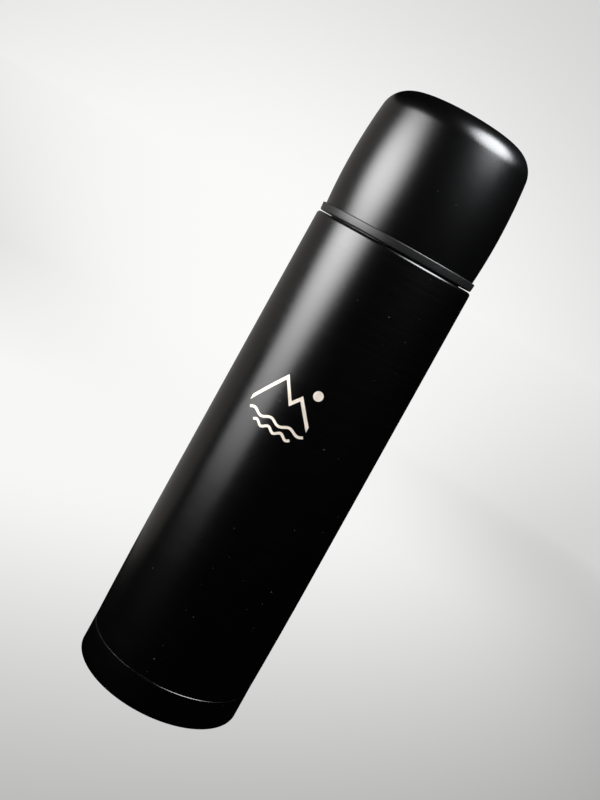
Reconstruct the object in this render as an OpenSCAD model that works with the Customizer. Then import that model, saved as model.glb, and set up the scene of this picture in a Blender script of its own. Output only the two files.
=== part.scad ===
// Vacuum flask, 500 ml, with a screw-on cup and a push-button pouring stopper.
// It stands upright on z = 0 with its axis on Z. All sizes are in millimetres.

/* [Body] */
// Outer radius of the body
body_r = 34; // [33.5:0.5:38]
// How much narrower the foot is than the body, on the radius
foot_inset = 0.5; // [0.1:0.1:0.8]
// Height at which the taper of the foot reaches the full radius
taper_top = 62; // [40:1:80]
// Height of the seam between the base cap and the shell
seam_z = 12; // [11:0.5:14]
// Width of the open seam
seam_gap = 0.15; // [0.05:0.05:0.3]
// Height of the flat shoulder
shoulder_z = 191.4; // [150:0.1:260]
// Rounding of the shoulder's edge
shoulder_round = 1.2; // [1:0.1:3]
// Wall of the outer steel parts
wall = 0.4; // [0.3:0.05:0.5]

/* [Inner vessel] */
// Vacuum gap between the two walls
vacuum_gap = 2.5; // [2:0.1:3]
// Wall of the inner vessel
inner_wall = 0.3; // [0.25:0.05:0.4]
// Radius of the mouth
mouth_r = 22; // [20.5:0.5:22.5]
// How far the throat's ledge stands in from the mouth
ledge_in = 2.4; // [2.1:0.1:2.6]
// Height of the neck above the shoulder
neck_h = 13.7; // [12.5:0.1:16]

/* [Cup] */
// Height of the cup's crown above the shoulder
cup_h = 59.1; // [54:0.1:75]
// How much narrower the cup's widest place is than the body, on the radius
cup_inset = 0.69; // [0.5:0.01:0.9]
// Height of the cup's widest place above the shoulder
cup_belly = 22.1; // [15:0.1:25]
// Radius of the barrel curve of the cup's side
cup_side_round = 225; // [200:5:400]
// Radius of the rounded corner at the cup's top
cup_corner_round = 11.1; // [8:0.1:13]
// Radius of the crown's shallow dome
cup_crown_round = 185; // [120:5:300]
// Gap between the two walls of the cup
cup_gap = 1.8; // [1.6:0.1:2]

/* [Cup ring] */
// Open gap between the shoulder and the ring's visible band
band_gap = 0.5; // [0.4:0.1:1.2]
// Height of the visible band
band_h = 3.3; // [3:0.1:5]
// How much narrower the band is than the body, on the radius
band_inset = 0.3; // [0.2:0.1:0.5]
// Height of the ring's threaded sleeve above the band's lower edge
sleeve_h = 20; // [18:0.5:22]

/* [Threads] */
// Rise of a thread in one turn
thread_pitch = 4; // [3.5:0.1:4.2]
// Number of turns
thread_turns = 1.5; // [1:0.25:1.5]
// Height of a thread's ridge above its wall
thread_depth = 0.75; // [0.5:0.05:0.8]

/* [Stopper] */
// Radius of the stopper's grip
grip_r = 25; // [24.7:0.1:25.4]
// Height of the grip above the stopper's flange
grip_h = 11; // [10.6:0.1:13]
// Number of grip ribs in each quarter
ribs_per_quarter = 9; // [5:1:10]
// Radius of the push button
button_r = 14; // [12:0.5:14.5]
// Travel of the push button
button_travel = 4; // [2:0.5:4]
// Travel of each release tab
tab_travel = 1.5; // [0.5:0.1:1.5]
// Turns of the button's spring
spring_turns = 5; // [3:1:6]

/* [Hidden] */
$fn = 96;

// Clearances: between parts of one body, between turning parts and between lifting threads
snug = 0.05;
running = 0.1;
thread_clear = 0.15;

// Radii
foot_r = body_r - foot_inset;
inner_r = body_r - wall - vacuum_gap;
throat_r = mouth_r - ledge_in;
neck_r = mouth_r + inner_wall + 1.5 + wall;
collar_r = neck_r + 2.5;
collar_thread_r = collar_r + thread_depth + 0.25;
ring_thread_r = collar_thread_r + thread_clear;
ring_bore_r = ring_thread_r + thread_depth + 0.4;
band_r = body_r - band_inset;
cup_r = body_r - cup_inset;
mouth_thread_r = mouth_r - thread_depth;
plug_thread_r = mouth_thread_r - thread_clear;
plug_r = plug_thread_r - thread_depth;
plug_bore_r = plug_r - 1.6;
tube_r = 10;
tube_wall = 1.2;
stem_r = 3;
disc_r = 13;
guide_wall = 1.9;

// Heights above the base
inner_base_z = 10.5;
inner_weld_z = 22;
inner_shoulder_z = shoulder_z - 18.3;
ledge_z = shoulder_z - 5.8;
lip_z = shoulder_z + neck_h;
band_z = shoulder_z + band_gap;
cup_edge_z = band_z + band_h + 0.1;
cup_belly_z = shoulder_z + cup_belly;
cup_top_z = shoulder_z + cup_h;
sleeve_top_z = band_z + sleeve_h;
seat_z = ledge_z - 1;
gasket_low_z = ledge_z + running;
plug_low_z = ledge_z + 2.1;
flange_z = lip_z + 0.4;
grip_z = flange_z + 1.5;
grip_top_z = grip_z + grip_h;
core_top_z = lip_z + 0.9;
foam_top_z = seat_z + 12.4;
button_top_z = grip_top_z + 2.2;
skirt_z = core_top_z + button_travel + 0.5;
guide_z = skirt_z + 2.1;
tab_z = grip_z + 2.6;
tab_h = 4.7;
tab_w = 8;
disc_z = seat_z - 3.6;

// Centres of the cup's corner arc and of the arcs that it joins
cup_side_c = [cup_r - cup_side_round, cup_belly_z];
cup_crown_c = [0, cup_top_z - cup_crown_round];
cup_corner_c = circles_meet(
    cup_side_c, cup_side_round - cup_corner_round,
    cup_crown_c, cup_crown_round - cup_corner_round);

// Radii at the cup's lower edge: its outside, the ring's sleeve and the groove for the inner wall
cup_edge_r = cup_side_c[0] + sqrt(pow(cup_side_round, 2) - pow(cup_belly_z - cup_edge_z, 2));
sleeve_r = cup_edge_r - wall - snug;
groove_r = cup_r - wall - cup_gap;

// The left-hand one of the two points where two circles meet
function circles_meet(c1, r1, c2, r2) =
    let (d = norm(c2 - c1), u = (c2 - c1)/d, a = (r1*r1 - r2*r2 + d*d)/(2*d))
    c1 + a*u + sqrt(r1*r1 - a*a)*[-u[1], u[0]];

function direction(v) = atan2(v[1], v[0]);
function reversed(v) = [for (i = [len(v) - 1:-1:0]) v[i]];
function arc(c, r, from, to, n = 8) =
    [for (i = [0:n]) let (a = from + (to - from)*i/n) c + r*[cos(a), sin(a)]];

// The same path moved d to its left, with mitred corners; a point on the axis stays there
function left_of(path, d) = [
    for (i = [0:len(path) - 1])
        let (
            n1 = left_normal(path[max(i - 1, 0)], path[max(i, 1)]),
            n2 = left_normal(path[min(i, len(path) - 2)], path[min(i + 1, len(path) - 1)]),
            moved = path[i] + d*(n1 + n2)/(1 + n1*n2)
        )
        [path[i][0] == 0 ? 0 : moved[0], moved[1]]
];
function left_normal(a, b) = [a[1] - b[1], b[0] - a[0]]/norm(b - a);

// A sheet-metal shell: the path turned about Z, with its thickness on the path's left
module turned_sheet(path, thickness) {
    rotate_extrude() polygon(concat(path, reversed(left_of(path, thickness))));
}

module tube(outer_r, inner_r, z_low, z_high) {
    difference() {
        translate([0, 0, z_low]) cylinder(r = outer_r, h = z_high - z_low);
        translate([0, 0, z_low - 1]) cylinder(r = inner_r, h = z_high - z_low + 2);
    }
}

// A solid swept through rings of points that all have the same number of corners
module swept(rings, flip) {
    corners = len(rings[0]);
    last = len(rings) - 1;
    sides = [
        for (i = [0:last - 1], k = [0:corners - 1])
            let (a = corners*i + k, b = corners*i + (k + 1) % corners)
            [a, a + corners, b + corners, b]
    ];
    ends = [
        [for (k = [0:corners - 1]) k],
        [for (k = [corners - 1:-1:0]) corners*last + k]
    ];
    faces = concat(sides, ends);
    polyhedron([for (ring = rings) each ring], flip ? [for (f = faces) reversed(f)] : faces);
}

function around_z(points, a) = [for (p = points) [p[0]*cos(a), p[0]*sin(a), p[1]]];

// A helical ridge on a wall of radius root_r. It runs out at both ends.
module thread(root_r, crest_r, z_low) {
    steps_per_turn = 36;
    run_out = 6;
    sunk = 0.2;
    base_h = 2;
    crest_h = 0.8;
    outward = crest_r > root_r;
    steps = round(thread_turns*steps_per_turn);
    hidden_r = root_r + (outward ? -sunk : sunk);
    rings = [
        for (i = [0:steps])
            let (
                rise = max(0.1, min(1, i/run_out, (steps - i)/run_out)),
                r = root_r + (crest_r - root_r)*rise,
                z = z_low + thread_pitch*i/steps_per_turn
            )
            around_z([
                [hidden_r, z - base_h/2], [r, z - crest_h/2],
                [r, z + crest_h/2], [hidden_r, z + base_h/2]
            ], 360*i/steps_per_turn)
    ];
    swept(rings, outward);
}

// Outer vessel

module outer_shell() {
    foot = [
        for (i = [0:8])
            let (z = seam_z + seam_gap + (taper_top - seam_z - seam_gap)*i/8,
                 below = (taper_top - z)/(taper_top - seam_z))
            [body_r - foot_inset*below*below, z]
    ];
    path = concat(
        foot,
        arc([body_r - shoulder_round, shoulder_z - shoulder_round], shoulder_round, 0, 90, 6),
        [[neck_r, shoulder_z], [neck_r, lip_z], [mouth_r + inner_wall + snug, lip_z]]
    );
    color("#1c1b1b") turned_sheet(path, wall);
}

module outer_base() {
    skirt_r = foot_r - wall - snug;
    path = concat(
        [[0, 6.5], [20, 6.5], [22, 5]],
        arc([skirt_r - 2, 7], 2, -90, 0, 5),
        [[skirt_r, seam_z + 4]]
    );
    color("silver") difference() {
        turned_sheet(path, wall);
        cylinder(r = 1.2, h = 10);
    }
}

module base_cap() {
    edge = 0.5;
    path = concat(
        [[0, 1.2], [26, 1.2], [27.5, 0]],
        arc([foot_r - edge, edge], edge, -90, 0, 4),
        [[foot_r, seam_z]]
    );
    color("#1c1b1b") turned_sheet(path, wall - snug);
}

// Inner vessel and the vacuum space

module inner_vessel() {
    round_r = 9;
    path = concat(
        [[inner_r, inner_weld_z + snug]],
        arc([inner_r - round_r, inner_shoulder_z], round_r, 0, 68, 8),
        [
            [throat_r + inner_wall + 0.8, ledge_z - 2.9],
            [throat_r + inner_wall, ledge_z - 2.1],
            [throat_r + inner_wall, ledge_z - 1.2],
            [mouth_r + inner_wall, ledge_z + 0.1],
            [mouth_r + inner_wall, lip_z]
        ]
    );
    color("silver") union() {
        turned_sheet(path, inner_wall);
        thread(mouth_r, mouth_thread_r, ledge_z + 5.5);
    }
}

module inner_base() {
    round_r = 6;
    path = concat(
        [[0, inner_base_z]],
        arc([inner_r - round_r, inner_base_z + round_r], round_r, -90, 0, 6),
        [[inner_r, inner_weld_z]]
    );
    color("silver") turned_sheet(path, inner_wall);
}

module reflective_foil() {
    color("#b8babb") tube(inner_r + snug + 0.1, inner_r + snug, inner_weld_z + 2, inner_shoulder_z - 2);
}

module getter_pill() {
    color("#77787a") translate([14, 0, 6.5 + wall + snug]) cylinder(r = 4, h = 1.8);
}

module getter_clip() {
    strip = 0.3;
    bridge_h = 2.3;
    color("silver") translate([14, 0, 6.5 + wall]) rotate([90, 0, 0]) translate([0, 0, -2.5])
        linear_extrude(5) difference() {
            union() {
                translate([-5, 0]) square([10, bridge_h]);
                translate([-5.9, 0]) square([11.8, strip]);
            }
            translate([-5 + strip, -1]) square([10 - 2*strip, bridge_h + 1 - strip]);
        }
}

module port_seal() {
    bead_r = 3.5;
    bead_h = 1.2;
    color("#9a9a98") intersection() {
        translate([0, 0, 6.5 - bead_h]) cylinder(r = bead_r, h = bead_h);
        translate([0, 0, 6.5 - bead_h + 6]) sphere(r = 6);
    }
}

// Neck collar, with the thread that the cup screws onto

module neck_collar() {
    foot_z = shoulder_z + snug;
    color("#262626") union() {
        difference() {
            union() {
                translate([0, 0, foot_z]) cylinder(r = ring_bore_r - 0.6, h = 1.6);
                translate([0, 0, foot_z]) cylinder(r = collar_r, h = lip_z - 1.6 - foot_z);
                translate([0, 0, lip_z - 1.6]) cylinder(r1 = collar_r, r2 = collar_r - 0.8, h = 0.8);
            }
            translate([0, 0, foot_z - 1]) cylinder(r = neck_r + snug, h = neck_h + 2);
        }
        thread(collar_r, collar_thread_r, shoulder_z + 4.5);
    }
}

// Stopper

module stopper_gasket() {
    inner = throat_r - 1.4 + snug;
    outer = plug_thread_r - snug;
    color("#d8d8d4") rotate_extrude() polygon([
        [inner, gasket_low_z], [outer - 1.2, gasket_low_z], [outer, gasket_low_z + 0.8],
        [outer, plug_low_z - snug], [inner, plug_low_z - snug]
    ]);
}

module stopper_plug() {
    window = [12, 3];
    color("#2c2c2d") difference() {
        union() {
            translate([0, 0, plug_low_z]) cylinder(r = plug_r, h = flange_z - plug_low_z + 0.5);
            translate([0, 0, flange_z]) cylinder(r = grip_r - 0.3, h = grip_z - flange_z);
            thread(plug_r, plug_thread_r, ledge_z + 5.5);
        }
        translate([0, 0, plug_low_z + 1.2]) cylinder(r = plug_bore_r, h = 30);
        translate([0, 0, plug_low_z - 1]) cylinder(r = tube_r + tube_wall + snug, h = 10);
        for (a = [45:90:315]) rotate(a) {
            translate([plug_bore_r - 1, -window[0]/2, flange_z - window[1]])
                cube([4, window[0], window[1] - 0.4]);
            translate([plug_r + 0.3, -window[0]/2, flange_z - 1]) cube([6, window[0], 4]);
        }
    }
}

module stopper_core() {
    window_z = foam_top_z + 1.4;
    disc_r = plug_bore_r - snug;
    color("#b9bbbd") difference() {
        union() {
            translate([0, 0, seat_z]) cylinder(r = tube_r + tube_wall, h = core_top_z - seat_z);
            translate([0, 0, foam_top_z]) cylinder(r = disc_r, h = 1.2);
            translate([0, 0, core_top_z - 2.9]) cylinder(r = disc_r, h = 2.9);
        }
        translate([0, 0, seat_z - 1]) cylinder(r = tube_r, h = core_top_z - 2.9 - seat_z + 1);
        translate([0, 0, seat_z]) cylinder(r = stem_r + snug, h = 40);
        translate([0, 0, core_top_z - 2.2]) cylinder(r = stem_r + 1.7, h = 1.6);
        for (a = [0:60:300]) rotate(a)
            translate([tube_r - 1, -3, window_z]) cube([tube_wall + 2, 6, 3.8]);
    }
}

module seat_plate() {
    hub_r = throat_r - 1.4;
    color("#2c2c2d") difference() {
        union() {
            translate([0, 0, seat_z]) cylinder(r = hub_r, h = plug_low_z - seat_z);
            translate([0, 0, seat_z]) cylinder(r = hub_r + 0.7, h = 0.9);
        }
        translate([0, 0, seat_z - 1]) cylinder(r = tube_r + tube_wall + snug, h = 10);
    }
}

module stopper_insulation() {
    color("#efe9d6") tube(plug_bore_r - running, tube_r + tube_wall + running,
                          plug_low_z + 1.3, foam_top_z - running);
}

module stopper_housing() {
    guide_r = button_r + running;
    edge = 1.6;
    rib_r = 0.6;
    rib_inset = 0.5;
    outer = concat(
        [[0, grip_z], [grip_r, grip_z]],
        arc([grip_r - edge, grip_top_z - edge], edge, 0, 90, 5),
        [[0, grip_top_z]]
    );
    color("#2c2c2d") difference() {
        union() {
            rotate_extrude() polygon(outer);
            for (quarter = [0:3], i = [1:ribs_per_quarter])
                rotate(90*quarter + 15 + 60*(i - 1)/(ribs_per_quarter - 1))
                    translate([grip_r - 0.15, 0, grip_z + rib_inset])
                        cylinder(r = rib_r, h = grip_h - edge - 2*rib_inset, $fn = 16);
        }
        tube(grip_r - 2, guide_r + guide_wall, grip_z - 1, grip_top_z - 1.6);
        translate([0, 0, grip_z - 1]) cylinder(r = guide_r, h = grip_h + 2);
        translate([0, 0, grip_z - 1]) cylinder(r = guide_r + guide_wall + 1, h = guide_z - grip_z + 1);
        for (side = [0, 180]) rotate(side)
            translate([grip_r - 4, -tab_w/2 - running, tab_z - running])
                cube([8, tab_w + 2*running, tab_h + 2*running]);
    }
}

module stem_o_ring() {
    cord_r = 0.75;
    color("#3a3a3a") translate([0, 0, core_top_z - 1.4])
        rotate_extrude() translate([stem_r + snug + cord_r, 0]) circle(r = cord_r, $fn = 24);
}

module button_spring() {
    coil_r = 8;
    wire_r = 0.45;
    sides = 6;
    steps_per_turn = 20;
    low = core_top_z + wire_r + snug;
    high = button_top_z - 1.8 - wire_r - snug;
    section = [for (k = [0:sides - 1]) wire_r*[cos(360*k/sides), sin(360*k/sides)]];
    steps = spring_turns*steps_per_turn;
    color("silver") swept([
        for (i = [0:steps])
            around_z([for (p = section) p + [coil_r, low + (high - low)*i/steps]], 360*i/steps_per_turn)
    ], true);
}

module push_button() {
    skin = 1.8;
    edge = 1.2;
    outer = concat(
        [[0, skirt_z], [button_r + 1.2, skirt_z], [button_r + 1.2, skirt_z + 1.6], [button_r, skirt_z + 1.6]],
        arc([button_r - edge, button_top_z - edge], edge, 0, 90, 5),
        [[button_r - 3, button_top_z], [button_r - 4, button_top_z - 0.5], [0, button_top_z - 0.5]]
    );
    color("#3b3c3e") difference() {
        rotate_extrude() polygon(outer);
        tube(button_r - 1.5, stem_r + 2, skirt_z - 1, button_top_z - skin);
        translate([0, 0, skirt_z - 1]) cylinder(r = stem_r + snug, h = button_top_z - skirt_z - 3);
        translate([0, 0, skirt_z - 1]) cylinder(r = stem_r + 3, h = 1.6);
    }
}

module valve_stem() {
    color("#b9bbbd") translate([0, 0, disc_z + 0.7])
        cylinder(r = stem_r, h = button_top_z - 4.1 - disc_z - 0.7);
}

module valve_disc() {
    color("#2c2c2d") difference() {
        union() {
            translate([0, 0, disc_z]) cylinder(r1 = disc_r - 0.6, r2 = disc_r, h = 1.4);
            translate([0, 0, disc_z + 1.4]) cylinder(r = stem_r + 2, h = 3.2);
        }
        translate([0, 0, disc_z + 0.7]) cylinder(r = stem_r + snug, h = 6);
    }
}

module valve_seal() {
    color("#d8d8d4") tube(disc_r - 0.2, stem_r + 2 + snug, disc_z + 1.4, seat_z - snug);
}

module release_tab() {
    inner = button_r + running + guide_wall + tab_travel + 0.3;
    outer = grip_r + tab_travel + 0.1;
    color("#3b3c3e") intersection() {
        tube(outer, inner, tab_z, tab_z + tab_h);
        union() {
            translate([0, -tab_w/2, tab_z]) cube([40, tab_w, tab_h]);
            translate([0, -tab_w/2 - 2.5, tab_z]) cube([grip_r - 2 - tab_travel, tab_w + 5, tab_h]);
        }
    }
}

module release_tab_left() { rotate(180) release_tab(); }

module release_tab_right() { release_tab(); }

// Cup

module cup_gasket() {
    color("#d8d8d4") tube(groove_r + 0.1 - snug, groove_r - wall - 0.3 + snug,
                          sleeve_top_z - 3 + snug, sleeve_top_z - 1.5);
}

module cup_thread_ring() {
    outer = [
        [0, band_z], [band_r - 0.5, band_z], [band_r - 0.2, band_z + 0.4],
        [band_r, band_z + band_h - 0.3], [band_r - 0.2, band_z + band_h],
        [sleeve_r, band_z + band_h], [sleeve_r, sleeve_top_z], [0, sleeve_top_z]
    ];
    color("#202020") union() {
        difference() {
            rotate_extrude() polygon(outer);
            translate([0, 0, band_z - 1]) cylinder(r = ring_bore_r, h = sleeve_h + 2);
            tube(groove_r + 0.1, groove_r - wall - 0.3, sleeve_top_z - 3, sleeve_top_z + 1);
        }
        thread(ring_bore_r, ring_thread_r, shoulder_z + 4.5);
    }
}

module cup_inner() {
    round_r = 10;
    top_z = cup_top_z - 2.6;
    path = concat(
        [[groove_r - 0.1, sleeve_top_z - 1.4]],
        arc([groove_r - 0.1 - round_r, top_z - round_r], round_r, 0, 90, 10),
        [[0, top_z]]
    );
    color("silver") turned_sheet(path, wall);
}

module cup_shell() {
    edge_a = asin((cup_edge_z - cup_belly_z)/cup_side_round);
    side_a = direction(cup_corner_c - cup_side_c);
    crown_a = direction(cup_corner_c - cup_crown_c);
    crown = arc(cup_crown_c, cup_crown_round, crown_a, 90, 7);
    path = concat(
        arc(cup_side_c, cup_side_round, edge_a, side_a, 10),
        [for (i = [1:11]) arc(cup_corner_c, cup_corner_round, side_a, crown_a, 12)[i]],
        [for (i = [0:6]) crown[i]],
        [[0, cup_top_z]]
    );
    color("#1c1b1b") turned_sheet(path, wall);
}

outer_shell();
outer_base();
base_cap();
inner_vessel();
inner_base();
reflective_foil();
getter_pill();
getter_clip();
port_seal();
neck_collar();
stopper_gasket();
stopper_plug();
stopper_core();
seat_plate();
stopper_insulation();
stopper_housing();
stem_o_ring();
button_spring();
push_button();
valve_stem();
valve_disc();
valve_seal();
release_tab_left();
release_tab_right();
cup_gasket();
cup_thread_ring();
cup_inner();
cup_shell();
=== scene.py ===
"""The looks of a vacuum flask with a screw-on cup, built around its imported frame.

Lengths below are millimetres. Meshes are turned or swept in millimetres and stored in metres.
"""

import math

import bmesh
import bpy
from mathutils import Matrix, Vector


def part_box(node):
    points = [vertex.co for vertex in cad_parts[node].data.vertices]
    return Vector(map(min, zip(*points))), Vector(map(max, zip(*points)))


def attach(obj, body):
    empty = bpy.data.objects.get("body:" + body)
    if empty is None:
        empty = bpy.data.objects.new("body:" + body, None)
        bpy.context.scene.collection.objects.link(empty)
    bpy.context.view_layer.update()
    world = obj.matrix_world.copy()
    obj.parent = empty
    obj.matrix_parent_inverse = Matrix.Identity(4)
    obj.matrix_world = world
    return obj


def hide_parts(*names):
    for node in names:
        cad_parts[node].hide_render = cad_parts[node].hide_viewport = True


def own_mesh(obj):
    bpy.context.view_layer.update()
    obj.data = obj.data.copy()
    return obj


MM = 0.001
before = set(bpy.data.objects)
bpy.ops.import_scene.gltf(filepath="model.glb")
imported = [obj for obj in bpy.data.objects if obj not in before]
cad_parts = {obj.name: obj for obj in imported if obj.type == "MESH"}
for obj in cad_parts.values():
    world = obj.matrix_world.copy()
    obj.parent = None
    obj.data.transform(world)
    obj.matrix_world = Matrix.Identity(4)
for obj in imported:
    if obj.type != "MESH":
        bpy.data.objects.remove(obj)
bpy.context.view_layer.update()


# Sizes that come from the frame

def radius_of(node):
    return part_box(node)[1].x / MM


def low_of(node):
    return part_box(node)[0].z / MM


def high_of(node):
    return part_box(node)[1].z / MM


BODY_R = radius_of("outer_shell")
FOOT_R = radius_of("base_cap")
BAND_R = radius_of("cup_thread_ring")
CUP_R = radius_of("cup_shell")
SEAM_Z = high_of("base_cap")
SHELL_Z = low_of("outer_shell")
LIP_Z = high_of("outer_shell")
BAND_Z = low_of("cup_thread_ring")
SLEEVE_TOP_Z = high_of("cup_thread_ring")
CUP_EDGE_Z = low_of("cup_shell")
CUP_TOP_Z = high_of("cup_shell")

# Sizes of the shapes between them. They repeat the CAD's, because the frame gives only each node's box.
WALL = 0.4
ENGRAVED_DEPTH = 0.02
COAT_R = BODY_R - ENGRAVED_DEPTH
SHOULDER_Z = BAND_Z - 0.5
SHOULDER_ROUND = 1.2
TAPER_TOP_Z = 62
NECK_R = 24.2
MOUTH_R = 22
COLLAR_R = NECK_R + 2.5
THREAD_DEPTH = 0.75
THREAD_PITCH = 4
THREAD_TURNS = 1.5
CUP_BELLY_Z = SHOULDER_Z + 22.1
CUP_SIDE_ROUND = 225
CUP_CORNER_ROUND = 11.1
CUP_CROWN_ROUND = 185
BAND_H = 3.3
RING_BORE_R = 29
GROOVE_R = CUP_R - WALL - 1.8
MARK_X = 1.6
MARK_Z = 123.8


# Outlines: lists of (radius, height) points

def arc(centre, radius, start, end, steps):
    """Points on an arc, with its angles in degrees."""
    angles = [math.radians(start + (end - start) * i / steps) for i in range(steps + 1)]
    return [(centre[0] + radius * math.cos(a), centre[1] + radius * math.sin(a)) for a in angles]


def offset(path, distance):
    """The same path moved to its left, with mitred corners. A point on the axis stays there."""
    def normal(a, b):
        return Vector((a[1] - b[1], b[0] - a[0])).normalized()

    moved = []
    last = len(path) - 1
    for i, point in enumerate(path):
        before = normal(path[max(i - 1, 0)], path[max(i, 1)])
        after = normal(path[min(i, last - 1)], path[min(i + 1, last)])
        step = distance * (before + after) / (1 + before.dot(after))
        moved.append((0 if point[0] == 0 else point[0] + step.x, point[1] + step.y))
    return moved


def sheet(path, thickness):
    """The closed outline of a sheet-metal wall, whose outside is the path."""
    return path + offset(path, thickness)[::-1]


def circles_meet(centre_a, radius_a, centre_b, radius_b):
    """The left-hand one of the two points where two circles meet."""
    a, b = Vector(centre_a), Vector(centre_b)
    gap = (b - a).length
    along = (b - a) / gap
    reach = (radius_a ** 2 - radius_b ** 2 + gap ** 2) / (2 * gap)
    side = Vector((-along.y, along.x)) * math.sqrt(radius_a ** 2 - reach ** 2)
    return a + along * reach + side


# Meshes

SEGMENTS = 256


def turn(bm, outline, segments=SEGMENTS):
    """Adds a closed outline turned about Z."""
    rings = []
    for radius, height in outline:
        if radius < 1e-6:
            rings.append([bm.verts.new((0, 0, height * MM))])
            continue
        rings.append([
            bm.verts.new((radius * math.cos(a) * MM, radius * math.sin(a) * MM, height * MM))
            for a in (math.tau * i / segments for i in range(segments))
        ])
    for ring, other in zip(rings, rings[1:] + rings[:1]):
        if len(ring) == 1 and len(other) == 1:
            continue
        for i in range(segments):
            j = (i + 1) % segments
            corners = [ring[i % len(ring)], ring[j % len(ring)], other[j % len(other)], other[i % len(other)]]
            bm.faces.new(list(dict.fromkeys(corners)))


def sweep(bm, rings):
    """Adds a closed solid through rings of points with the same number of corners."""
    loops = [[bm.verts.new([c * MM for c in point]) for point in ring] for ring in rings]
    corners = len(loops[0])
    for near, far in zip(loops, loops[1:]):
        for k in range(corners):
            j = (k + 1) % corners
            bm.faces.new([near[k], near[j], far[j], far[k]])
    bm.faces.new(loops[0][::-1])
    bm.faces.new(loops[-1])


def thread(bm, root_r, crest_r, low_z):
    """Adds a rounded helical ridge that runs out at both ends."""
    steps_per_turn = 96
    run_out = 16
    steps = round(THREAD_TURNS * steps_per_turn)
    sunk = math.copysign(0.2, root_r - crest_r)
    shape = [(-1.0, 0), (-0.75, 0.35), (-0.55, 0.8), (-0.3, 1), (0.3, 1), (0.55, 0.8), (0.75, 0.35), (1.0, 0)]
    rings = []
    for i in range(steps + 1):
        a = math.tau * i / steps_per_turn
        rise = max(0.1, min(1, i / run_out, (steps - i) / run_out))
        middle_z = low_z + THREAD_PITCH * i / steps_per_turn
        ring = []
        for height, out in shape:
            r = root_r + (crest_r - root_r) * rise * out + (sunk if out == 0 else 0)
            ring.append((r * math.cos(a), r * math.sin(a), middle_z + height))
        rings.append(ring)
    sweep(bm, rings)


def piece(name, bm, body, material, nodes=(), sharp_angle=32):
    """Makes a finished object that rides on a body and stands for CAD nodes."""
    bmesh.ops.recalc_face_normals(bm, faces=bm.faces)
    mesh = bpy.data.meshes.new(name)
    bm.to_mesh(mesh)
    bm.free()
    mesh.polygons.foreach_set("use_smooth", [True] * len(mesh.polygons))
    mesh.set_sharp_from_angle(angle=math.radians(sharp_angle))
    mesh.materials.append(material)
    made = bpy.data.objects.new(name, mesh)
    bpy.context.scene.collection.objects.link(made)
    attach(made, body)
    if nodes:
        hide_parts(*nodes)
    return made


# Material parts. Scales are in features per millimetre, and heights in millimetres.

def new_material(name):
    material = bpy.data.materials.new(name)
    material.use_nodes = True
    return material, material.node_tree, material.node_tree.nodes["Principled BSDF"]


def noise(tree, scale, detail=2.0):
    """Noise in the piece's own coordinates. The scale is one number, or one for each axis."""
    scale = scale if isinstance(scale, tuple) else (scale,) * 3
    place = tree.nodes.new("ShaderNodeTexCoord")
    mapping = tree.nodes.new("ShaderNodeMapping")
    mapping.inputs["Scale"].default_value = [s / MM for s in scale]
    texture = tree.nodes.new("ShaderNodeTexNoise")
    texture.inputs["Scale"].default_value = 1
    texture.inputs["Detail"].default_value = detail
    tree.links.new(place.outputs["Object"], mapping.inputs["Vector"])
    tree.links.new(mapping.outputs["Vector"], texture.inputs["Vector"])
    return texture.outputs["Fac"]


def ramp(tree, value, stops, interpolation="LINEAR"):
    """A colour ramp with (position, colour) stops."""
    node = tree.nodes.new("ShaderNodeValToRGB")
    node.color_ramp.interpolation = interpolation
    elements = node.color_ramp.elements
    while len(elements) < len(stops):
        elements.new(1)
    for element, (position, colour) in zip(elements, stops):
        element.position = position
        element.color = (*colour, 1)
    tree.links.new(value, node.inputs["Fac"])
    return node.outputs["Color"]


def spread(tree, value, low, high, start=0.3, end=0.7):
    """Stretches a texture's usual values over low to high."""
    node = tree.nodes.new("ShaderNodeMapRange")
    node.inputs["From Min"].default_value = start
    node.inputs["From Max"].default_value = end
    node.inputs["To Min"].default_value = low
    node.inputs["To Max"].default_value = high
    tree.links.new(value, node.inputs["Value"])
    return node.outputs["Result"]


def bump(tree, value, height, under=None):
    node = tree.nodes.new("ShaderNodeBump")
    node.inputs["Distance"].default_value = height * MM
    tree.links.new(value, node.inputs["Height"])
    if under is not None:
        tree.links.new(under, node.inputs["Normal"])
    return node.outputs["Normal"]


def mix_colours(tree, amount, first, second):
    node = tree.nodes.new("ShaderNodeMix")
    node.data_type = "RGBA"
    tree.links.new(amount, node.inputs["Factor"])
    tree.links.new(first, node.inputs["A"])
    tree.links.new(second, node.inputs["B"])
    return node.outputs["Result"]


def surface(name, dark, light, rough, grain, relief,
            lines=None, line_relief=None, metallic=0.0, specular=0.5, mottle=0.05):
    """A material with mottled colour, uneven gloss, a fine grain and, if asked, drawn or turned lines.

    rough is the lowest and highest roughness. grain and lines are texture scales, and relief and
    line_relief are the heights of their bumps over the texture's full range, of which noise uses less
    than half.
    """
    material, tree, shader = new_material(name)
    patches = noise(tree, mottle, detail=4.0)
    fine = noise(tree, grain)
    colour = ramp(tree, patches, [(0.3, dark), (0.7, light)])
    normal = bump(tree, fine, relief)
    gloss = fine
    if lines is not None:
        drawn = noise(tree, lines, detail=3.0)
        normal = bump(tree, drawn, relief if line_relief is None else line_relief, under=normal)
        gloss = drawn
    tree.links.new(colour, shader.inputs["Base Color"])
    tree.links.new(spread(tree, gloss, *rough), shader.inputs["Roughness"])
    tree.links.new(normal, shader.inputs["Normal"])
    shader.inputs["Metallic"].default_value = metallic
    shader.inputs["Specular IOR Level"].default_value = specular
    return material


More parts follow.
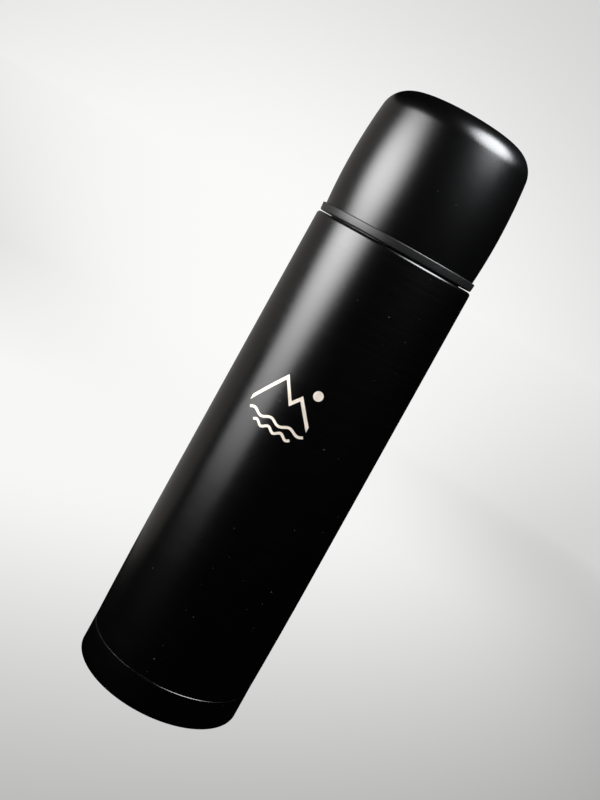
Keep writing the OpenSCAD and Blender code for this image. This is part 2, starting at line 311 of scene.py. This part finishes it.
def dust(material, share, colour):
    """Adds sparse specks to a material made by surface(), where its noise is above share."""
    speck_scale = 1.1
    speck_edge = 0.015
    tint_scale = 0.3
    dimmed = tuple(c * 0.4 for c in colour)
    tree = material.node_tree
    shader = tree.nodes["Principled BSDF"]
    link = shader.inputs["Base Color"].links[0]
    specks = ramp(tree, noise(tree, speck_scale, detail=0.0), [
        (share, (0, 0, 0)), (share + speck_edge, (1, 1, 1))
    ])
    tint = ramp(tree, noise(tree, tint_scale), [(0.3, colour), (0.7, dimmed)])
    mixed = mix_colours(tree, specks, link.from_socket, tint)
    tree.links.new(mixed, shader.inputs["Base Color"])
    return material


LOOKS = {
    "body_coat": dust(surface(
        "body_coat", (0.0002, 0.0002, 0.0002), (0.0006, 0.0005, 0.0005), (0.21, 0.25), 2.8, 0.024,
        lines=(0.05, 0.05, 2.2), line_relief=0.011), 0.87, (0.05, 0.047, 0.043)),
    "cup_coat": dust(surface(
        "cup_coat", (0.0004, 0.0004, 0.0004), (0.0009, 0.0009, 0.0010), (0.22, 0.26), 2.8, 0.036),
        0.88, (0.04, 0.04, 0.04)),
    "band_plastic": surface(
        "band_plastic", (0.002, 0.002, 0.002), (0.005, 0.005, 0.005), (0.34, 0.46), 2.6, 0.05),
    "turned_steel": surface(
        "turned_steel", (0.50, 0.49, 0.47), (0.62, 0.61, 0.60), (0.20, 0.34), 2.0, 0.005,
        lines=(0.02, 0.02, 6.0), metallic=1.0),
    "rolled_steel": surface(
        "rolled_steel", (0.44, 0.43, 0.42), (0.56, 0.55, 0.54), (0.28, 0.42), 3.0, 0.009,
        lines=(0.3, 5.0, 0.3), metallic=1.0),
    "engraved_steel": surface(
        "engraved_steel", (0.64, 0.56, 0.47), (0.80, 0.72, 0.63), (0.36, 0.50), 6.0, 0.012,
        lines=(0.4, 0.4, 7.0), metallic=0.35, mottle=0.25),
    "foil": surface(
        "foil", (0.62, 0.62, 0.63), (0.80, 0.80, 0.81), (0.12, 0.28), 0.5, 0.2, metallic=1.0),
    "getter_metal": surface(
        "getter_metal", (0.09, 0.09, 0.09), (0.17, 0.16, 0.16), (0.50, 0.70), 5.0, 0.04, metallic=0.6),
    "solder": surface(
        "solder", (0.30, 0.30, 0.29), (0.42, 0.42, 0.41), (0.25, 0.45), 0.9, 0.12, metallic=1.0),
    "spring_steel": surface(
        "spring_steel", (0.40, 0.40, 0.41), (0.58, 0.58, 0.59), (0.18, 0.32), 4.0, 0.01,
        lines=(0.5, 0.5, 3.0), metallic=1.0),
    "stopper_plastic": surface(
        "stopper_plastic", (0.014, 0.014, 0.015), (0.022, 0.022, 0.023), (0.40, 0.55), 3.2, 0.05),
    "button_plastic": surface(
        "button_plastic", (0.030, 0.031, 0.033), (0.042, 0.043, 0.046), (0.34, 0.48), 4.0, 0.03),
    "valve_plastic": surface(
        "valve_plastic", (0.24, 0.24, 0.23), (0.32, 0.32, 0.31), (0.35, 0.50), 3.0, 0.03),
    "silicone": surface(
        "silicone", (0.34, 0.33, 0.30), (0.42, 0.41, 0.38), (0.42, 0.58), 2.5, 0.04),
    "black_rubber": surface(
        "black_rubber", (0.016, 0.016, 0.016), (0.028, 0.028, 0.028), (0.50, 0.70), 3.5, 0.04),
    "insulation_foam": surface(
        "insulation_foam", (0.72, 0.68, 0.55), (0.86, 0.83, 0.72), (0.80, 0.95), 1.6, 0.4),
}

CAD_LOOKS = {
    "outer_base": "rolled_steel", "inner_vessel": "turned_steel", "inner_base": "turned_steel",
    "reflective_foil": "foil", "getter_pill": "getter_metal", "getter_clip": "rolled_steel",
    "port_seal": "solder", "stopper_gasket": "silicone", "stopper_plug": "stopper_plastic",
    "stopper_core": "valve_plastic", "seat_plate": "stopper_plastic", "stopper_insulation": "insulation_foam",
    "stopper_housing": "stopper_plastic", "stem_o_ring": "black_rubber",
    "push_button": "button_plastic", "valve_stem": "valve_plastic", "valve_disc": "stopper_plastic",
    "valve_seal": "silicone", "release_tab_left": "button_plastic", "release_tab_right": "button_plastic",
    "cup_gasket": "silicone", "cup_inner": "turned_steel",
}
for node, look in CAD_LOOKS.items():
    for material_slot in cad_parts[node].material_slots:
        material_slot.material = LOOKS[look]


# Pieces

def make_outer_shell():
    edge = 0.12
    taper_steps = 24
    foot = []
    for i in range(taper_steps + 1):
        z = SHELL_Z + edge + (TAPER_TOP_Z - SHELL_Z - edge) * i / taper_steps
        below = (TAPER_TOP_Z - z) / (TAPER_TOP_Z - SEAM_Z)
        foot.append((COAT_R - (BODY_R - FOOT_R) * below ** 2, z))
    path = (
        [(foot[0][0] - edge, SHELL_Z)] + foot
        + arc((COAT_R - SHOULDER_ROUND, SHOULDER_Z - SHOULDER_ROUND), SHOULDER_ROUND, 0, 90, 16)
        + arc((NECK_R + 0.6, SHOULDER_Z + 0.6), 0.6, 270, 180, 6)
        + [(NECK_R, LIP_Z - 0.2), (NECK_R - 0.2, LIP_Z), (MOUTH_R + 0.4, LIP_Z)]
    )
    bm = bmesh.new()
    turn(bm, sheet(path, WALL))
    piece("outer_shell_coat", bm, "vessel", LOOKS["body_coat"], ["outer_shell"])


def make_base_cap():
    edge = 0.5
    path = (
        [(0, 1.2), (25.7, 1.2)]
        + arc((27.6, 1.2), 1.2, 180, 270, 5)
        + arc((FOOT_R - edge, edge), edge, -90, 0, 8)
        + [(FOOT_R, SEAM_Z - 0.12), (FOOT_R - 0.12, SEAM_Z)]
    )
    bm = bmesh.new()
    turn(bm, sheet(path, WALL - 0.05))
    piece("base_cap_coat", bm, "vessel", LOOKS["body_coat"], ["base_cap"])


def make_neck_collar():
    foot_z = low_of("neck_collar")
    top_z = high_of("neck_collar")
    bore_r = NECK_R + 0.05
    outline = (
        [(bore_r, foot_z), (RING_BORE_R - 0.6, foot_z)]
        + arc((RING_BORE_R - 1.0, foot_z + 1.2), 0.4, 0, 90, 4)
        + arc((COLLAR_R + 0.5, foot_z + 2.1), 0.5, 270, 180, 4)
        + arc((COLLAR_R - 0.8, top_z - 0.8), 0.8, 0, 90, 6)
        + [(bore_r, top_z)]
    )
    bm = bmesh.new()
    turn(bm, outline)
    thread(bm, COLLAR_R, COLLAR_R + THREAD_DEPTH + 0.25, SHOULDER_Z + 4.5)
    piece("neck_collar_moulding", bm, "vessel", LOOKS["band_plastic"], ["neck_collar"])


def cup_arcs():
    """Centres of the arcs that make the cup: side, corner and crown."""
    side = (CUP_R - CUP_SIDE_ROUND, CUP_BELLY_Z)
    crown = (0, CUP_TOP_Z - CUP_CROWN_ROUND)
    corner = circles_meet(
        side, CUP_SIDE_ROUND - CUP_CORNER_ROUND, crown, CUP_CROWN_ROUND - CUP_CORNER_ROUND)
    return side, corner, crown


def make_cup_shell():
    side, corner, crown = cup_arcs()
    edge_a = math.degrees(math.asin((CUP_EDGE_Z - CUP_BELLY_Z) / CUP_SIDE_ROUND))
    side_a = math.degrees(math.atan2(corner.y - side[1], corner.x - side[0]))
    crown_a = math.degrees(math.atan2(corner.y - crown[1], corner.x - crown[0]))
    path = (
        arc(side, CUP_SIDE_ROUND, edge_a, side_a, 40)
        + arc(corner, CUP_CORNER_ROUND, side_a, crown_a, 28)[1:]
        + arc(crown, CUP_CROWN_ROUND, crown_a, 90, 14)[1:-1]
        + [(0, CUP_TOP_Z)]
    )
    bm = bmesh.new()
    turn(bm, sheet(path, WALL))
    piece("cup_shell_coat", bm, "cup", LOOKS["cup_coat"], ["cup_shell"])


def make_cup_thread_ring():
    band_top_z = BAND_Z + BAND_H
    sleeve_r = radius_at_cup_edge() - WALL - 0.05
    groove = [(GROOVE_R + 0.1, SLEEVE_TOP_Z), (GROOVE_R + 0.1, SLEEVE_TOP_Z - 3)]
    groove += [(GROOVE_R - WALL - 0.3, SLEEVE_TOP_Z - 3), (GROOVE_R - WALL - 0.3, SLEEVE_TOP_Z)]
    outline = (
        [(RING_BORE_R, BAND_Z + 0.3), (RING_BORE_R + 0.3, BAND_Z)]
        + arc((BAND_R - 0.75, BAND_Z + 0.55), 0.55, -90, 0, 6)
        + [(BAND_R, band_top_z - 0.5)]
        + arc((BAND_R - 0.35, band_top_z - 0.35), 0.35, 0, 90, 6)
        + [(sleeve_r, band_top_z), (sleeve_r, SLEEVE_TOP_Z)]
        + groove + [(RING_BORE_R, SLEEVE_TOP_Z)]
    )
    bm = bmesh.new()
    turn(bm, outline)
    thread(bm, RING_BORE_R, RING_BORE_R - THREAD_DEPTH - 0.4, SHOULDER_Z + 4.5)
    piece("cup_thread_ring_moulding", bm, "cup", LOOKS["band_plastic"], ["cup_thread_ring"])


def radius_at_cup_edge():
    below = CUP_BELLY_Z - CUP_EDGE_Z
    return CUP_R - CUP_SIDE_ROUND + math.sqrt(CUP_SIDE_ROUND ** 2 - below ** 2)


def make_button_spring():
    """A coil with closed ends."""
    wire_r = 0.45
    closed_turns = 0.8
    turns = 6.2
    steps_per_turn = 40
    sides = 10
    steps = round(turns * steps_per_turn)
    foot_z = low_of("button_spring")
    top_z = high_of("button_spring")
    coil_r = radius_of("button_spring") - wire_r
    closed_rise = 2.1 * wire_r * closed_turns
    open_rise = top_z - foot_z - 2 * wire_r - 2 * closed_rise
    rings = []
    for i in range(steps + 1):
        t = turns * i / steps
        rise = closed_rise * (min(t, closed_turns) + max(0, t - turns + closed_turns)) / closed_turns
        rise += open_rise * min(1, max(0, (t - closed_turns) / (turns - 2 * closed_turns)))
        a = math.tau * t
        ring = []
        for k in range(sides):
            b = math.tau * k / sides
            r = coil_r + wire_r * math.cos(b)
            ring.append((r * math.cos(a), r * math.sin(a), foot_z + wire_r * (1 + math.sin(b)) + rise))
        rings.append(ring)
    bm = bmesh.new()
    sweep(bm, rings)
    coil = piece(
        "button_spring_coil", bm, "stopper", LOOKS["spring_steel"], ["button_spring"])
    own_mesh(coil)


def ribbon(points, width):
    """The two edges of a flat line of the given width, as pairs of points."""
    pairs = []
    for i, point in enumerate(points):
        along = Vector(points[min(i + 1, len(points) - 1)]) - Vector(points[max(i - 1, 0)])
        side = Vector((-along.y, along.x)).normalized() * width / 2
        pairs.append((Vector(point) + side, Vector(point) - side))
    return pairs


def ridge(points, depth, steps=12):
    """A ridge line through corner points, as deep as given measured straight down."""
    pairs = []
    for start, end in zip(points, points[1:]):
        for i in range(steps):
            upper = Vector(start).lerp(Vector(end), i / steps)
            pairs.append((upper, upper - Vector((0, depth))))
    last = Vector(points[-1])
    return pairs + [(last, last - Vector((0, depth)))]


def disc(centre, radius, steps=24):
    """A filled disc, as pairs of points across it."""
    pairs = []
    for i in range(1, steps):
        a = math.pi * i / steps
        x = centre[0] - radius * math.cos(a)
        half = radius * math.sin(a)
        pairs.append((Vector((x, centre[1] + half)), Vector((x, centre[1] - half))))
    return pairs


def wrap(bm, pairs):
    """Wraps a flat shape round the front of the body as a thin solid."""
    def on_body(point, r):
        a = (MARK_X + point.x) / BODY_R - math.pi / 2
        return (r * math.cos(a), r * math.sin(a), MARK_Z + point.y)

    sunk = 0.03
    under_r = COAT_R - sunk
    sweep(bm, [
        [on_body(upper, under_r), on_body(upper, BODY_R), on_body(lower, BODY_R), on_body(lower, under_r)]
        for upper, lower in pairs
    ])


def make_mark():
    """A generic outdoor picture: two peaks, a sun and two lines of water. It has no lettering."""
    bm = bmesh.new()
    wrap(bm, ridge([(-13.2, -3.0), (-3.8, 10.4), (1.8, 2.4), (4.6, 6.0), (11.8, -3.0)], 2.1))
    wrap(bm, disc((9.4, 8.6), 1.9))
    steps_per_wave = 16
    steps = 3 * steps_per_wave
    height = 0.7
    for level, half in ((-7.2, 11.8), (-10.4, 8.0)):
        wave = [
            (-half + 2 * half * i / steps, level + height * math.sin(math.tau * i / steps_per_wave))
            for i in range(steps + 1)
        ]
        wrap(bm, ribbon(wave, 1.0))
    piece("engraved_mark", bm, "vessel", LOOKS["engraved_steel"])


make_outer_shell()
make_base_cap()
make_neck_collar()
make_cup_shell()
make_cup_thread_ring()
make_button_spring()
make_mark()


# Stage, light and camera. Headings are degrees from the front (-Y) towards +X.

CAMERA_TURN = 15.0
CAMERA_PLACE = Vector((10.3, -385.7, 187.4))
CAMERA_YAW = -1.25
CAMERA_PITCH = -1.38
CAMERA_ROLL = 29.1
LIGHT_TURN = CAMERA_TURN + 1.5
FLOOR_R = 20
FLOOR_GAP = 0.05
BACKDROP_TINT = (1, 0.998, 0.993)


def around(heading, distance, height):
    """A point at a heading round the flask, in metres."""
    a = math.radians(heading)
    return Vector((math.sin(a) * distance * MM, -math.cos(a) * distance * MM, height * MM))


def make_camera():
    data = bpy.data.cameras.new("camera")
    data.lens = 44.2
    data.sensor_width = 36
    data.shift_x = -0.15
    data.shift_y = -0.119
    data.clip_start = 0.01
    data.clip_end = 100
    camera = bpy.data.objects.new("camera", data)
    bpy.context.scene.collection.objects.link(camera)
    turned = Matrix.Rotation(math.radians(CAMERA_TURN), 4, "Z")
    place = Matrix.Translation(turned @ (CAMERA_PLACE * MM))
    yaw = Matrix.Rotation(math.radians(CAMERA_TURN + CAMERA_YAW), 4, "Z")
    pitch = Matrix.Rotation(math.radians(90 + CAMERA_PITCH), 4, "X")
    roll = Matrix.Rotation(math.radians(CAMERA_ROLL), 4, "Z")
    camera.matrix_world = place @ yaw @ pitch @ roll
    bpy.context.scene.camera = camera


GLOW = -around(CAMERA_TURN + 8, 1000, 230).normalized()
GLOW_EDGE = (math.radians(12), math.radians(36))
# The floor's painted pool of light: its centre, and the distances over which it dims.
PAINTED_POOL_CENTRE = -around(CAMERA_TURN + 43, 680, 0)
PAINTED_POOL_EDGE = (0.5, 0.92)
FLOOR_BLEND = (0.35, 0.8)


def grey(value):
    return tuple(value * share for share in BACKDROP_TINT)


def falloff(tree, value, edge, bright, dim):
    """A grey that eases from bright to dim as the value crosses the edge."""
    share = spread(tree, value, 0, 1, *edge)
    return ramp(tree, share, [(0, grey(bright)), (1, grey(dim))], "EASE")


def glow(tree, direction):
    """Brightness of the backdrop in a direction: a soft pool of light behind the flask."""
    dot = tree.nodes.new("ShaderNodeVectorMath")
    dot.operation = "DOT_PRODUCT"
    dot.inputs[1].default_value = GLOW
    tree.links.new(direction, dot.inputs[0])
    angle = tree.nodes.new("ShaderNodeMath")
    angle.operation = "ARCCOSINE"
    tree.links.new(dot.outputs["Value"], angle.inputs[0])
    return falloff(tree, angle.outputs["Value"], GLOW_EDGE, 0.96, 0.65)


def make_world():
    world = bpy.data.worlds.new("studio")
    bpy.context.scene.world = world
    world.use_nodes = True
    tree = world.node_tree
    place = tree.nodes.new("ShaderNodeTexCoord")
    tree.links.new(glow(tree, place.outputs["Generated"]), tree.nodes["Background"].inputs["Color"])
    world.cycles_visibility.glossy = False
    world.cycles_visibility.diffuse = False


def make_floor():
    """A pale disc that gives off its own light, with a painted pool of light where it is brightest, and fades
    into the backdrop.

    It is hidden from reflections and bounced light, as the world is.
    """
    bm = bmesh.new()
    bmesh.ops.create_circle(bm, cap_ends=True, segments=128, radius=FLOOR_R)
    mesh = bpy.data.meshes.new("floor")
    bm.to_mesh(mesh)
    bm.free()
    floor = bpy.data.objects.new("floor", mesh)
    floor.location.z = -FLOOR_GAP * MM
    bpy.context.scene.collection.objects.link(floor)
    floor.visible_glossy = False
    floor.visible_diffuse = False

    material, tree, shader = new_material("floor")
    tree.nodes.remove(shader)
    place = tree.nodes.new("ShaderNodeTexCoord").outputs["Object"]

    def distance_from(point):
        node = tree.nodes.new("ShaderNodeVectorMath")
        node.operation = "DISTANCE"
        node.inputs[1].default_value = point
        tree.links.new(place, node.inputs[0])
        return node.outputs["Value"]

    # Painted light: the floor's glow is brightest round one point and dims away from it, as a lamp's pool of
    # light would.
    painted_light_pool = falloff(tree, distance_from(PAINTED_POOL_CENTRE), PAINTED_POOL_EDGE, 0.93, 0.28)
    normalize = tree.nodes.new("ShaderNodeVectorMath")
    normalize.operation = "NORMALIZE"
    tree.links.new(place, normalize.inputs[0])
    far = glow(tree, normalize.outputs["Vector"])
    blend = spread(tree, distance_from((0, 0, 0)), 0, 1, *FLOOR_BLEND)
    emission = tree.nodes.new("ShaderNodeEmission")
    tree.links.new(mix_colours(tree, blend, painted_light_pool, far), emission.inputs["Color"])
    tree.links.new(emission.outputs["Emission"], tree.nodes["Material Output"].inputs["Surface"])
    mesh.materials.append(material)


def soften(light_data, core):
    """Makes a panel brightest over its core, a share of its half size, and fade to nothing at its rim."""
    light_data.use_nodes = True
    tree = light_data.node_tree
    place = tree.nodes.new("ShaderNodeTexCoord")
    middle = tree.nodes.new("ShaderNodeVectorMath")
    middle.operation = "DISTANCE"
    middle.inputs[1].default_value = (0.5, 0.5, 0)
    tree.links.new(place.outputs["UV"], middle.inputs[0])
    fade = ramp(tree, spread(tree, middle.outputs["Value"], 0, 1, core / 2, 0.5), [
        (0, (1, 1, 1)), (1, (0, 0, 0))
    ], "EASE")
    tree.links.new(fade, tree.nodes["Emission"].inputs["Strength"])


def softbox(name, heading, distance, height, size, power, aim_z, core=None, colour=(1, 1, 1)):
    """An area light at a heading counted from LIGHT_TURN, aimed at a height on the flask's axis."""
    data = bpy.data.lights.new(name, "AREA")
    data.shape = "RECTANGLE"
    data.size, data.size_y = (s * MM for s in size)
    data.energy = power
    data.color = colour
    if core is not None:
        soften(data, core)
    light = bpy.data.objects.new(name, data)
    bpy.context.scene.collection.objects.link(light)
    light.location = around(LIGHT_TURN + heading, distance, height)
    aim = Vector((0, 0, aim_z * MM)) - light.location
    light.rotation_mode = "QUATERNION"
    light.rotation_quaternion = aim.to_track_quat("-Z", "Y")
    light.visible_camera = False


make_camera()
make_world()
make_floor()
softbox("key", heading=-62, distance=450, height=250, size=(640, 450), power=15.5, aim_z=235, core=0.15)
softbox("key_spill", heading=-62, distance=450, height=50, size=(310, 120), power=0.42, aim_z=60)
softbox("top", heading=60, distance=313, height=565, size=(640, 540), power=25, aim_z=242, core=0.38,
        colour=(0.94, 0.97, 1.0))
softbox("side", heading=-130, distance=450, height=130, size=(560, 520), power=0.27, aim_z=120,
        colour=(1.0, 0.96, 0.91))
bpy.context.scene.view_settings.view_transform = "Standard"
